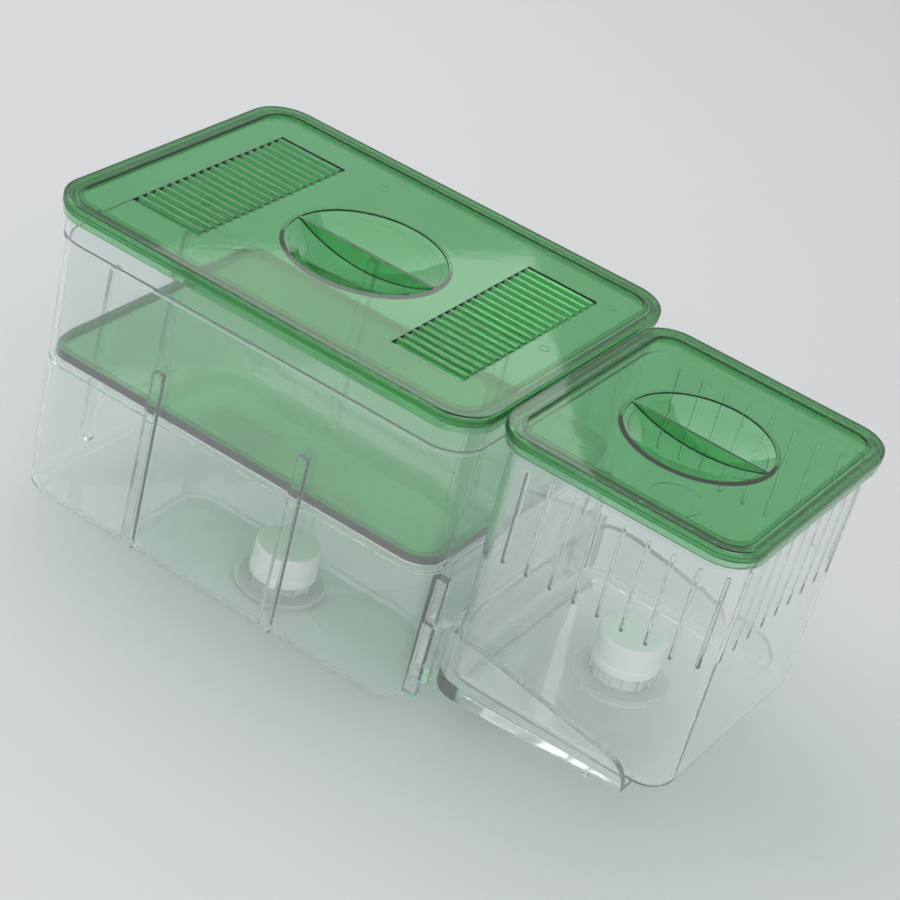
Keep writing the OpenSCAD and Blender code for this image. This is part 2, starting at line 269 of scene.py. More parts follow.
def pick(kind, test):
    """Selects the vertices, edges or faces that pass a test."""
    bpy.ops.mesh.select_mode(type=kind)
    bpy.ops.mesh.select_all(action="DESELECT")
    mesh = bmesh.from_edit_mesh(bpy.context.object.data)
    elements = {"VERT": mesh.verts, "EDGE": mesh.edges, "FACE": mesh.faces}[kind]
    for element in [e for e in elements if test(e)]:
        element.select_set(True)
    bmesh.update_edit_mesh(bpy.context.object.data)


def upright(edge):
    return abs((edge.verts[1].co - edge.verts[0].co).normalized().z) > 0.9


def cut(point, normal, **options):
    """Cuts what is selected along a plane."""
    bpy.ops.mesh.bisect(plane_co=point, plane_no=normal, threshold=NEAR / 10, **options)


def cut_all(point, normal, **options):
    bpy.ops.mesh.select_mode(type="FACE")
    bpy.ops.mesh.select_all(action="SELECT")
    cut(point, normal, **options)


def draw_in(middle, size, step):
    """Scales what is selected so that an outline of that size shrinks by a step on each side."""
    value = (1 - 2 * step / size.x, 1 - 2 * step / size.y, 1)
    bpy.ops.transform.resize(value=value, center_override=middle)


def change(piece, kind, **settings):
    """Adds one modifier and applies it."""
    only(piece)
    modifier = piece.modifiers.new(kind.title(), kind)
    for key, value in settings.items():
        setattr(modifier, key, value)
    bpy.ops.object.modifier_apply(modifier=modifier.name)


def combine(piece, other, operation):
    """Joins another closed piece to this one, or takes it away, and removes the other."""
    change(piece, "BOOLEAN", operation=operation, solver="EXACT", object=other)
    bpy.data.objects.remove(other)


def gather(name, pieces):
    """Makes several pieces one object."""
    bpy.ops.object.select_all(action="DESELECT")
    for piece in pieces:
        piece.select_set(True)
    bpy.context.view_layer.objects.active = pieces[0]
    if len(pieces) > 1:
        bpy.ops.object.join()
    pieces[0].name = name
    return pieces[0]


def round_edges(piece, width):
    """Cleans the mesh and rounds its sharp edges."""
    edit(piece)
    bpy.ops.mesh.select_all(action="SELECT")
    bpy.ops.mesh.remove_doubles(threshold=NEAR / 2)
    bpy.ops.mesh.dissolve_degenerate(threshold=NEAR)
    bpy.ops.mesh.select_all(action="SELECT")
    bpy.ops.mesh.dissolve_limited(angle_limit=math.radians(0.2))
    leave()
    change(piece, "BEVEL", width=width, segments=2, limit_method="ANGLE",
           angle_limit=math.radians(40), use_clamp_overlap=False)


def polish(piece):
    """Shades the piece as a smooth moulding whose flat faces stay flat."""
    only(piece)
    bpy.ops.object.shade_smooth_by_angle(angle=math.radians(50))
    change(piece, "WEIGHTED_NORMAL", mode="FACE_AREA_WITH_ANGLE", weight=80, keep_sharp=True)


def soften(piece, width):
    round_edges(piece, width)
    polish(piece)


def outward():
    """Turns the faces of the mesh in edit mode outwards."""
    bpy.ops.mesh.select_all(action="SELECT")
    bpy.ops.mesh.normals_make_consistent(inside=False)


# Lids

def lid_sheet(name, box, radius):
    """Outer skin of a lid: skirt, band, rounded crown, raised rim and lowered panel."""
    low, high = Vector(box[0]), Vector(box[1])
    low.z = TOP - SKIRT_H
    middle, size = (low + high) / 2, high - low
    piece = block(name, low, high)
    edit(piece)
    pick("EDGE", upright)
    bpy.ops.mesh.bevel(offset=radius, segments=CORNER_STEPS, affect="EDGES")
    pick("FACE", lambda f: f.normal.z < -0.9)
    bpy.ops.mesh.delete(type="FACE")
    for drop in (BAND_H, BAND_H + BAND_STEP):
        cut_all((0, 0, TOP - drop), Z_AXIS)
    pick("VERT", lambda v: v.co.z < TOP - BAND_H - BAND_STEP / 2)
    draw_in(middle, size, BAND_STEP)
    pick("EDGE", lambda e: all(v.co.z > TOP - NEAR for v in e.verts))
    bpy.ops.mesh.bevel(offset=CROWN, segments=CROWN_STEPS, affect="EDGES")
    pick("FACE", lambda f: f.normal.z > 0.99)
    bpy.ops.mesh.inset(thickness=RIM_W - CROWN - RIM_SLOPE)
    bpy.ops.mesh.inset(thickness=RIM_SLOPE, depth=-RIM_H)
    leave()
    return piece


def on_panel(f):
    return f.normal.z > 0.99 and place(f).z < PANEL_TOP + NEAR


def bowl_ball(radius, depth):
    """Radius of the ball that a recess's bowl is a cap of."""
    bowl = depth - RECESS_LIP
    return (radius ** 2 + bowl ** 2) / (2 * bowl)


def draw_bowl(middle, radius, depth):
    """Draws the selected round edge down and inwards, ring by ring, and closes the bottom."""
    ball = bowl_ball(radius, depth)
    half_angle = math.asin(radius / ball)
    at_r, at_z = radius, PANEL_TOP
    for k in range(BOWL_RINGS):
        angle = half_angle * (1 - k / BOWL_RINGS)
        r = ball * math.sin(angle)
        z = PANEL_TOP - depth + ball * (1 - math.cos(angle))
        bpy.ops.mesh.extrude_region_move(TRANSFORM_OT_translate={"value": (0, 0, z - at_z)})
        bpy.ops.transform.resize(value=(r / at_r, r / at_r, 1), center_override=(middle.x, middle.y, z))
        at_r, at_z = r, z
    bpy.ops.mesh.edge_face_add()


def sink_recess(piece, middle, radius, depth, half_x, half_y):
    """Opens the panel round the middle and lets a shallow round bowl into it."""
    edit(piece)
    for axis, half in ((X_AXIS, half_x), (Y_AXIS, half_y)):
        for side in (-1, 1):
            pick("FACE", on_panel)
            cut(middle + side * half * axis, axis)
    pick("FACE", lambda f: on_panel(f) and (place(f) - middle).xy.length < radius / 4)
    bpy.ops.mesh.delete(type="ONLY_FACE")
    bpy.ops.mesh.primitive_circle_add(vertices=RECESS_SIDES, radius=radius,
                                      location=(middle.x, middle.y, PANEL_TOP))

    def on_circle(e):
        return all(abs((v.co - middle).xy.length - radius) < NEAR for v in e.verts)

    def on_hole(e):
        p = place(e) - middle
        inside = abs(p.x) < half_x + NEAR and abs(p.y) < half_y + NEAR
        return inside and e.is_boundary and abs(place(e).z - PANEL_TOP) < NEAR

    pick("EDGE", lambda e: on_circle(e) or on_hole(e))
    bpy.ops.mesh.bridge_edge_loops()
    pick("EDGE", on_circle)
    draw_bowl(middle, radius, depth)
    outward()
    leave()


def grip_fin(middle, radius, depth):
    """The upright fin across a recess: a slice of a disc whose arc stands in the bowl."""
    ball = bowl_ball(radius, depth)
    centre = Vector((middle.x, middle.y - FIN_T / 2, PANEL_TOP - depth - PANEL_T / 2 + ball))
    bpy.ops.object.select_all(action="DESELECT")
    bpy.ops.mesh.primitive_circle_add(vertices=FIN_SIDES, radius=ball, fill_type="NGON", location=centre,
                                      rotation=(math.radians(90), 0, 0))
    piece = settle("fin")
    edit(piece)
    cut_all((0, 0, PANEL_TOP - FIN_DROP), Z_AXIS, clear_outer=True)
    for side in (-1, 1):
        cut_all(middle + side * (radius + FIN_ROOT) * X_AXIS, side * X_AXIS, clear_outer=True)
    bpy.ops.mesh.select_all(action="SELECT")
    bpy.ops.mesh.extrude_region_move(TRANSFORM_OT_translate={"value": (0, FIN_T, 0)})
    outward()
    leave()
    return piece


def mark_ring(middle, radius, width):
    """A faint moulded ring on a lid's panel."""
    spot = (middle.x, middle.y, PANEL_TOP - width / 2)
    bpy.ops.object.select_all(action="DESELECT")
    bpy.ops.mesh.primitive_torus_add(major_radius=radius, minor_radius=width, location=spot,
                                     major_segments=48, minor_segments=12)
    return settle("ring")


def in_window(p, spare=NEAR):
    """True for a point in one of the two grille windows."""
    x = abs(abs(p.x - BIG_MID.x) - GRILLE_X)
    return x < WINDOW_X + spare and abs(p.y - BIG_MID.y) < WINDOW_Y + spare


def over_rib(p):
    """How far a point lies from the middle of its rib, across the rib."""
    steps = (p.y - BIG_MID.y) / SLOT_PITCH
    return abs(steps - round(steps)) * SLOT_PITCH


def open_grilles(piece):
    """Cuts both grilles' windows into ribs and slots."""

    def beside_window(f):
        return on_panel(f) and abs(abs(place(f).x - BIG_MID.x) - GRILLE_X) < WINDOW_X

    def in_slot(f):
        p = place(f)
        return (on_panel(f) and in_window(p) and over_rib(p) > RIB_HALF
                and abs(p.y - BIG_MID.y) < WINDOW_Y - SLOT_PITCH / 2)

    edit(piece)
    for side in (-1, 1):
        for x in (-WINDOW_X, RIB_END - WINDOW_X, WINDOW_X - RIB_END, WINDOW_X):
            pick("FACE", on_panel)
            cut(BIG_MID + side * (GRILLE_X + x) * X_AXIS, X_AXIS)
    for k in range(SLOT_COUNT + 1):
        for share in RIB_CUTS:
            y = (k - SLOT_COUNT / 2) * SLOT_PITCH + share * RIB_HALF
            pick("FACE", beside_window)
            cut(BIG_MID + y * Y_AXIS, Y_AXIS)
    pick("FACE", in_slot)
    bpy.ops.mesh.delete(type="FACE")
    leave()


def raise_ribs(piece):
    """Lifts the inner ribs' upper sides to rounded bars that end upright."""

    def on_bar(p):
        inner = abs(p.y - BIG_MID.y) < WINDOW_Y - SLOT_PITCH
        return inner and abs(p.z - PANEL_TOP) < RIM_H / 2 + NEAR and in_window(p, -RIB_END / 2)

    edit(piece)
    for share, rise in RIB_LIFTS:
        pick("VERT", lambda v: on_bar(v.co) and over_rib(v.co) < share * RIB_HALF)
        bpy.ops.transform.translate(value=(0, 0, rise * RIB_RISE))
    leave()


def depth_in(p, box, radius):
    """How far a point lies inside a lid's rounded outline."""
    middle, half = (box[0] + box[1]) / 2, (box[1] - box[0]) / 2
    x = abs(p.x - middle.x) - half.x + radius
    y = abs(p.y - middle.y) - half.y + radius
    return radius - Vector((max(x, 0), max(y, 0))).length - min(max(x, y), 0)


def true_up(piece, box, radius):
    """Flattens the panel's underside and thins the skirt's lower part from inside, under the band."""
    low, high = box
    ledge = TOP - BAND_H - BAND_STEP - SKIRT_LEDGE

    def under_panel(v):
        return abs(v.co.z - PANEL_UNDER) < 0.1 * MM and depth_in(v.co, box, radius) > RIM_W / 2

    def inside_skirt(v):
        return v.co.z < ledge - SKIRT_SLOPE / 2 and depth_in(v.co, box, radius) > BAND_STEP + PANEL_T / 2

    edit(piece)
    pick("VERT", under_panel)
    bpy.ops.transform.resize(value=(1, 1, 0), center_override=(0, 0, PANEL_UNDER))
    for z in (ledge, ledge - SKIRT_SLOPE):
        cut_all((0, 0, z), Z_AXIS)
    pick("VERT", inside_skirt)
    draw_in((low + high) / 2, high - low, SKIRT_T - PANEL_T)
    leave()


def finish_lid(piece, middle, radius, depth, rings):
    """Adds the grip fin, rounds the edges and then sets the faint rings."""
    combine(piece, grip_fin(middle, radius, depth), "UNION")
    round_edges(piece, LID_ROUND)
    marks = [mark_ring(middle + Vector((x, y, 0)) * MM, r * MM, w * MM) for x, y, r, w in rings]
    combine(piece, gather("marks", marks), "UNION")
    polish(piece)
    return piece


def make_large_lid():
    piece = lid_sheet("large_lid_moulding", BIG, BIG_RADIUS)
    middle = Vector((BIG_MID.x, BIG_MID.y, PANEL_TOP))
    half_x = GRILLE_X - WINDOW_X - GRILLE_SPARE
    half_y = 9 * SLOT_PITCH
    sink_recess(piece, middle, RECESS_R, RECESS_D, half_x, half_y)
    open_grilles(piece)
    change(piece, "SOLIDIFY", thickness=PANEL_T, offset=-1, use_even_offset=True)
    raise_ribs(piece)
    true_up(piece, BIG, BIG_RADIUS)
    return finish_lid(piece, middle, RECESS_R, RECESS_D, BIG_RINGS)


def make_small_lid():
    piece = lid_sheet("small_lid_moulding", SMALL, SMALL_RADIUS)
    middle = Vector((SMALL_MID.x, SMALL_MID.y, PANEL_TOP))
    half = SMALL_RECESS_R + RECESS_SPARE
    sink_recess(piece, middle, SMALL_RECESS_R, SMALL_RECESS_D, half, half)
    change(piece, "SOLIDIFY", thickness=PANEL_T, offset=-1, use_even_offset=True)
    true_up(piece, SMALL, SMALL_RADIUS)
    return finish_lid(piece, middle, SMALL_RECESS_R, SMALL_RECESS_D, SMALL_RINGS)


# Tubs

def tub_sheet(name, box, radius, foot, collar_z, lean, edge_r, segments):
    """Outer skin of a tub, open at the top: collar, step, leaning walls and rounded floor edge."""
    low = Vector((box[0].x + COLLAR_IN, box[0].y + COLLAR_IN, foot))
    high = Vector((box[1].x - COLLAR_IN, box[1].y - COLLAR_IN, TUB_TOP))
    middle, size = (low + high) / 2, high - low
    piece = block(name, low, high)
    edit(piece)
    pick("EDGE", upright)
    bpy.ops.mesh.bevel(offset=radius - COLLAR_IN, segments=segments, affect="EDGES")
    pick("FACE", lambda f: f.normal.z > 0.9)
    bpy.ops.mesh.delete(type="FACE")
    for z in (collar_z, collar_z - COLLAR_STEP):
        cut_all((0, 0, z), Z_AXIS)
    pick("VERT", lambda v: v.co.z < collar_z - COLLAR_STEP / 2)
    draw_in(middle, size, COLLAR_STEP)
    pick("VERT", lambda v: v.co.z < foot + NEAR)
    draw_in(middle, size, lean)
    pick("EDGE", lambda e: all(v.co.z < foot + NEAR for v in e.verts))
    bpy.ops.mesh.bevel(offset=edge_r, segments=EDGE_STEPS, affect="EDGES")
    leave()
    return piece


def faces_inside(f, middle):
    """True for a wall face that looks into the tub."""
    return abs(f.normal.z) < 0.5 and f.normal.dot(place(f) - middle) < 0


def add_shelf(piece):
    """Draws the tray's ledge out of the large tub's inner wall."""
    edit(piece)
    for z in (SHELF_Z - SHELF_H, SHELF_Z):
        pick("FACE", lambda f: faces_inside(f, BIG_MID))
        cut((0, 0, z), Z_AXIS)
    pick("FACE", lambda f: faces_inside(f, BIG_MID) and SHELF_Z - SHELF_H < place(f).z < SHELF_Z)
    bpy.ops.mesh.extrude_region_shrink_fatten(TRANSFORM_OT_shrink_fatten={"value": SHELF_W})
    leave()


def rail(middle, reach, along, out, foot, top, turn, curl=0.0):
    """One hanging rail, modelled on the front side of the large box and turned to its wall."""
    face = middle.y - reach - out
    root = middle.y - reach + RAIL_SUNK
    low = (middle.x + along - RAIL_ROOT / 2, face, foot)
    high = (middle.x + along + RAIL_ROOT / 2, root, top)
    piece = block("rail", low, high)
    edit(piece)
    pick("VERT", lambda v: v.co.y < face + NEAR)
    spot = (middle.x + along, face, foot)
    bpy.ops.transform.resize(value=(RAIL_W / RAIL_ROOT, 1, 1), center_override=spot)
    if curl:
        pick("EDGE", lambda e: place(e).y < face + NEAR and place(e).z < foot + NEAR)
        bpy.ops.mesh.bevel(offset=curl, segments=EDGE_STEPS, affect="EDGES")
    leave()
    swing(piece, middle, turn)
    return piece


def all_rails():
    front = BIG_MID.y - BIG[0].y - COLLAR_IN
    end = BIG_MID.x - BIG[0].x - COLLAR_IN
    quarter = math.radians(90)
    rails = []
    for turn in (0, 2 * quarter):
        for x in (-RAIL_X, RAIL_X):
            rails.append(rail(BIG_MID, front, x, RAIL_OUT, RAIL_FOOT, RAIL_TOP, turn, RAIL_CURL))
    for y in (-RAIL_Y, RAIL_Y):
        rails.append(rail(BIG_MID, end, y, RAIL_OUT, RAIL_FOOT, RAIL_TOP, -quarter, RAIL_CURL))
    hook_middle = Vector((BIG_MID.x, SMALL_MID.y, 0))
    for y in (-HOOK_Y, HOOK_Y):
        rails.append(rail(hook_middle, end, y, HOOK_RAIL_OUT, HOOK_RAIL_FOOT, HOOK_RAIL_TOP, quarter))
    return gather("rails", rails)


def plug(radius, low_z, high_z, centre, vertices=64):
    """An upright cylinder."""
    bpy.ops.object.select_all(action="DESELECT")
    bpy.ops.mesh.primitive_cylinder_add(vertices=vertices, radius=radius, depth=high_z - low_z,
                                        location=(centre.x, centre.y, (low_z + high_z) / 2))
    return settle("plug")


def make_large_tub():
    piece = tub_sheet("large_tub_moulding", BIG, BIG_RADIUS, 0, COLLAR_Z, LEAN, EDGE_R, CORNER_STEPS)
    change(piece, "SOLIDIFY", thickness=WALL, offset=-1, use_even_offset=True)
    add_shelf(piece)
    combine(piece, all_rails(), "UNION")
    combine(piece, plug(NECK_R + NECK_FIT, -FLOOR_T, 2 * FLOOR_T, BIG_DRAIN), "DIFFERENCE")
    soften(piece, BIG_ROUND)
    return piece


def open_water_slots(piece):
    """Cuts the upright slots out of the small tub's front, back and right walls and right corners."""
    low_z, high_z = WATER_TOP - WATER_L, WATER_TOP
    edit(piece)
    for z in (low_z, high_z):
        cut_all((0, 0, z), Z_AXIS)
    walls = ((X_AXIS, WATER_FRONT, WATER_FRONT_PITCH, lambda f: abs(f.normal.y) > 0.95),
             (Y_AXIS, WATER_SIDE, WATER_SIDE_PITCH, lambda f: f.normal.x > 0.95))
    for axis, count, pitch, on_wall in walls:
        for k in range(count):
            for side in (-1, 1):
                pick("FACE", on_wall)
                cut(SMALL_MID + (pitch * (k - (count - 1) / 2) + side * WATER_W / 2) * axis, axis)

    def in_slot(f):
        if not low_z < place(f).z < high_z:
            return False
        for axis, count, pitch, on_wall in walls:
            steps = (place(f) - SMALL_MID).dot(axis) / pitch + (count - 1) / 2
            near_slot = abs(steps - round(steps)) * pitch < WATER_W / 2
            if on_wall(f) and near_slot and -0.5 < steps < count - 0.5:
                return True
        return f.normal.x > 0.5 and abs(f.normal.x - abs(f.normal.y)) < 0.05

    pick("FACE", in_slot)
    bpy.ops.mesh.delete(type="FACE")
    leave()


def make_small_tub():
    piece = tub_sheet("small_tub_moulding", SMALL, SMALL_RADIUS, SMALL_FOOT, SMALL_COLLAR_Z,
                      SMALL_LEAN, SMALL_EDGE_R, SMALL_CORNER_STEPS)
    open_water_slots(piece)
    change(piece, "SOLIDIFY", thickness=WALL, offset=-1, use_even_offset=True)
    combine(piece, plug(NECK_R + NECK_FIT, SMALL_FOOT - FLOOR_T, SMALL_FOOT + 2 * FLOOR_T, SMALL_DRAIN),
            "DIFFERENCE")
    soften(piece, SMALL_ROUND)
    return piece


# Tray, cradle and drains

def make_tray():
    """Flat plate with a low raised rim, standing on the large tub's ledge."""
    low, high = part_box("separator_tray")
    corner = BIG_RADIUS - wall_in(SHELF_Z) - WALL
    piece = block("tray_moulding", low, high)
    edit(piece)
    pick("EDGE", upright)
    bpy.ops.mesh.bevel(offset=corner, segments=CORNER_STEPS, affect="EDGES")
    pick("FACE", lambda f: f.normal.z > 0.9)
    bpy.ops.mesh.inset(thickness=TRAY_RIM)
    bpy.ops.mesh.extrude_region_move(TRANSFORM_OT_translate={"value": (0, 0, low.z + PANEL_T - high.z)})
    leave()
    soften(piece, TRAY_ROUND)
    return piece


def cradle_ring():
    """Ring round the small tub's foot: a wall with a ledge inside, before its profile is cut."""
    outer = small_in(CRADLE_TOP) - FIT - CRADLE_T
    low = Vector((SMALL[0].x + outer, SMALL[0].y + outer, CRADLE_FOOT))
    high = Vector((SMALL[1].x - outer, SMALL[1].y - outer, CRADLE_TOP))
    drop = SMALL_FOOT - FIT - CRADLE_TOP
    piece = block("cradle_moulding", low, high)
    edit(piece)
    pick("EDGE", upright)
    bpy.ops.mesh.bevel(offset=SMALL_RADIUS - outer, segments=CORNER_STEPS, affect="EDGES")
    pick("FACE", lambda f: f.normal.z > 0.9)
    bpy.ops.mesh.inset(thickness=CRADLE_T)
    bpy.ops.mesh.extrude_region_move(TRANSFORM_OT_translate={"value": (0, 0, drop)})
    bpy.ops.mesh.inset(thickness=LEDGE_W)
    bpy.ops.mesh.delete(type="ONLY_FACE")
    pick("FACE", lambda f: f.normal.z < -0.9)
    bpy.ops.mesh.inset(thickness=CRADLE_T + LEDGE_W)
    bpy.ops.mesh.delete(type="ONLY_FACE")
    pick("EDGE", lambda e: e.is_boundary)
    bpy.ops.mesh.bridge_edge_loops()
    outward()
    leave()
    return piece, low.x


def round_cuts(x, z, radius, degrees):
    """Planes that touch a circle in the side view, one for each angle."""
    cuts = []
    for angle in degrees:
        normal = Vector((math.cos(math.radians(angle)), 0, math.sin(math.radians(angle))))
        cuts.append((Vector((x, 0, z)) + radius * normal, normal))
    return cuts


def cut_profile(piece, left):
    """Cuts the ring to the cradle's side view: level at the hooks, sloping arms with round ends."""
    right = SMALL_MID.x + ARM_REACH
    steep = math.radians(75)
    shoulder = Vector((left + SHOULDER, 0, CRADLE_TOP))
    arm_top = Vector((right - ARM_R * (1 - math.cos(steep)), 0, ARM_TOP - ARM_R * (1 - math.sin(steep))))
    heel = Vector((left + CRADLE_R, 0, CRADLE_FOOT))
    upper = arm_top - shoulder
    lower = Vector((right, 0, ARM_FOOT)) - heel
    cuts = [((right, 0, 0), X_AXIS)]
    cuts += round_cuts(right - ARM_R, ARM_TOP - ARM_R, ARM_R, range(15, 76, 15))
    cuts += round_cuts(left + CRADLE_R, CRADLE_FOOT + CRADLE_R, CRADLE_R, range(195, 256, 15))
    cuts.append((shoulder, (-upper.z, 0, upper.x)))
    cuts.append((heel, (lower.z, 0, -lower.x)))
    edit(piece)
    for point, normal in cuts:
        cut_all(point, normal, use_fill=True, clear_outer=True)
    outward()
    leave()


def hook(side, hook_left, hook_right, rail_base):
    """One hook: a block beside the cradle's end wall with a dovetail channel for its rail."""
    middle_y = SMALL_MID.y + side * HOOK_Y
    outer = RAIL_W / 2 + FIT + CHEEK_T
    near_y = middle_y - (HOOK_W if side > 0 else outer)
    low_z = CRADLE_TOP - HOOK_H
    piece = block("hook", (hook_left, near_y, low_z), (hook_right, near_y + HOOK_W + outer, CRADLE_TOP))
    face = rail_base + HOOK_RAIL_OUT + FIT
    half = RAIL_ROOT / 2 + FIT
    spare = 1 * MM
    low = (hook_left - spare, middle_y - half, low_z - spare)
    channel = block("channel", low, (face, middle_y + half, CRADLE_TOP + spare))
    edit(channel)
    pick("VERT", lambda v: v.co.x > face - NEAR)
    wider = (RAIL_W / 2 + FIT) / half
    bpy.ops.transform.resize(value=(1, wider, 1), center_override=(face, middle_y, low_z))
    leave()
    combine(piece, channel, "DIFFERENCE")
    return piece


def make_cradle():
    piece, left = cradle_ring()
    cut_profile(piece, left)
    big_face = BIG[1].x
    hook_left = big_face - wall_in(CRADLE_TOP + CRADLE_TRAVEL) + FIT
    hook_right = left + 0.9 * CRADLE_T
    inset = small_in(CRADLE_TOP) - FIT
    pip_foot = CRADLE_FOOT + PIP_H / 2
    pip_top = CRADLE_FOOT + 2.5 * PIP_H + CRADLE_T / 2
    extras = []
    for side in (-1, 1):
        extras.append(hook(side, hook_left, hook_right, big_face - COLLAR_IN))
        y = SMALL_MID.y + side * (SMALL_MID.y - SMALL[0].y - inset + CRADLE_T / 4)
        extras.append(plug(PIP_R, pip_foot, pip_top, Vector((SMALL_MID.x + PIP_X, y, 0)), PIP_SIDES))
    for extra in extras:
        combine(piece, extra, "UNION")
    soften(piece, CRADLE_ROUND)
    return piece


def turned(name, outline, centre):
    """A closed solid turned about an upright line from its (radius, height) outline."""
    first_r, first_z = outline[0]
    bpy.ops.object.select_all(action="DESELECT")
    bpy.ops.mesh.primitive_plane_add(size=MM, location=(centre.x + first_r, centre.y, first_z))
    piece = settle(name)
    edit(piece)
    bpy.ops.mesh.select_mode(type="VERT")
    bpy.ops.mesh.select_all(action="SELECT")
    bpy.ops.mesh.merge(type="CENTER")
    for (r0, z0), (r1, z1) in zip(outline, outline[1:]):
        bpy.ops.mesh.extrude_vertices_move(TRANSFORM_OT_translate={"value": (r1 - r0, 0, z1 - z0)})
    ends = [Vector((centre.x + r, centre.y, z)) for r, z in (outline[0], outline[-1])]
    pick("VERT", lambda v: min((v.co - end).length for end in ends) < NEAR)
    bpy.ops.mesh.edge_face_add()
    bpy.ops.mesh.select_all(action="SELECT")
    bpy.ops.mesh.spin(steps=TURN_STEPS, angle=math.tau, center=(centre.x, centre.y, 0), axis=(0, 0, 1))
    bpy.ops.mesh.select_all(action="SELECT")
    bpy.ops.mesh.remove_doubles(threshold=NEAR)
    bpy.ops.mesh.delete_loose()
    outward()
    leave()
    return piece


def make_drain_seat(name, centre, floor_z, flange_z, foot_z):
    """Flanged neck with a beaded flange and a ring of grip ribs."""
    top = flange_z + FLANGE_T
    outline = [(BORE_R, foot_z), (NECK_R if foot_z < flange_z else FLANGE_R, foot_z)]
    if foot_z < flange_z:
        outline += [(NECK_R, flange_z), (FLANGE_R, flange_z)]
    outline += [(FLANGE_R, top), (FLANGE_R - BEAD, top), (FLANGE_R - BEAD - BEAD_DIP, top - BEAD_DIP),
                (NECK_R + BEAD_DIP, top - BEAD_DIP), (NECK_R, top), (NECK_R, NECK_H), (BORE_R, NECK_H)]
    piece = turned(name, [(r, floor_z + z) for r, z in outline], centre)
    rib_z = max(flange_z + FLANGE_T / 2, NECK_FIT)
    ribs = []
    for k in range(RIB_COUNT):
        low = (centre.x + BORE_R + WASHER_T, centre.y - RIB_W / 2, floor_z + rib_z)
        high = (centre.x + NECK_R + RIB_OUT, centre.y + RIB_W / 2, floor_z + RIB_H)
        rib = block("rib", low, high)
        swing(rib, Vector((centre.x, centre.y, 0)), math.tau * (k / RIB_COUNT + 0.5 / TURN_STEPS))
        ribs.append(rib)
    combine(piece, gather("ribs", ribs), "UNION")
    soften(piece, SEAT_ROUND)
    return piece


def make_drain_cap(name, centre, floor_z):
    """Plain cap with a rounded top edge, a shallow dish and a thicker band round its open end."""
    foot = floor_z + RIB_H + NECK_FIT
    top = foot + CAP_H
    inner = NECK_R + NECK_FIT
    outer = CAP_R - CAP_DISH
    dish_r = CAP_R - CAP_DISH_RIM
    outline = [(inner, foot), (CAP_R, foot), (CAP_R, foot + CAP_BAND), (outer, foot + CAP_BAND + CAP_DISH)]
    for degrees in range(0, 91, 15):
        a = math.radians(degrees)
        outline.append((outer - CAP_EDGE * (1 - math.cos(a)), top - CAP_EDGE * (1 - math.sin(a))))
    outline += [(dish_r, top), (dish_r - CAP_DISH_SLOPE, top - CAP_DISH), (0, top - CAP_DISH),
                (0, top - CAP_T), (inner, top - CAP_T)]
    piece = turned(name, outline, centre)
    soften(piece, CAP_ROUND)
    return piece


def make_washer(name, node, centre):
    low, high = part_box(node)
    inner, outer = NECK_R + NECK_FIT, high.x - centre.x
    outline = [(inner, low.z), (outer, low.z), (outer, high.z), (inner, high.z)]
    piece = turned(name, outline, centre)
    soften(piece, SEAT_ROUND)
    return piece


# Finishes: shader maths as plain expressions

class Value:
    """A shader socket that adds its Math nodes by itself when it is used in an expression."""

    def __init__(self, finish, socket):
        self.finish = finish
        self.socket = socket

    def maths(self, operation, first, second):
        return self.finish.add("ShaderNodeMath", {"operation": operation}, {0: first, 1: second})

    def __add__(self, other):
        return self.maths("ADD", self, other)

    def __mul__(self, other):
        return self.maths("MULTIPLY", self, other)

    __radd__ = __add__
    __rmul__ = __mul__


class Finish:
    """One material or world, built from nodes."""

    def __init__(self, owner):
        owner.use_nodes = True
        self.owner = owner
        self.tree = owner.node_tree
        self.tree.nodes.clear()

    def add(self, kind, settings=(), inputs=(), output=0):
        """Adds a node, sets its settings, then its inputs, and gives back one output as a value."""
        node = self.tree.nodes.new(kind)
        for key, value in dict(settings).items():
            if key == "stops":
                for stop, (at, colour) in zip(self.stops(node, len(value)), value):
                    stop.position = at
                    stop.color = (*colour, 1)
            else:
                setattr(node, key, value)
        for key, value in dict(inputs).items():
            if isinstance(value, Value):
                self.tree.links.new(value.socket, node.inputs[key])
            else:
                node.inputs[key].default_value = value
        return Value(self, node.outputs[output]) if node.outputs else None

    @staticmethod
    def stops(node, count):
        ramp = node.color_ramp
        while len(ramp.elements) < count:
            ramp.elements.new(1)
        return ramp.elements

    def noise(self, where, scale, detail, distortion=0.0):
        """Noise from 0 to 1 at a number of cells per metre."""
        inputs = {"Vector": where, "Scale": scale, "Detail": detail, "Distortion": distortion}
        return self.add("ShaderNodeTexNoise", {}, inputs)

    def stretched(self, where, scale):
        """Coordinates drawn out along their axes."""
        return self.add("ShaderNodeMapping", {}, {"Vector": where, "Scale": scale})

    def between(self, share, first, second):
        """A colour between two, by a share from 0 to 1."""
        ramp = {"stops": [(0.3, first), (0.7, second)]}
        return self.add("ShaderNodeValToRGB", ramp, {"Fac": share})


def skin(finish, first, second, roughness, wear, wave):
    """Colour with slight clouding, gloss with fine scuffs, and a relief of slow flow waves."""
    where = finish.add("ShaderNodeTexCoord", output="Object")
    cloud = finish.noise(where, 22, 2)
    flow = finish.noise(finish.stretched(where, (1, 1, 0.4)), 55, 2, 1.2)
    scuff = finish.noise(finish.stretched(where, (1, 0.12, 1)), 900, 4)
    smudge = finish.noise(where, 60, 3, 0.6)
    colour = finish.between(cloud, first, second)
    gloss = roughness + wear * (scuff * smudge)
    relief = flow * wave + scuff * (0.02 * wave)
    normal = finish.add("ShaderNodeBump", {}, {"Height": relief, "Distance": MM, "Strength": 1.0})
    return {"Base Color": colour, "Roughness": gloss, "Normal": normal}


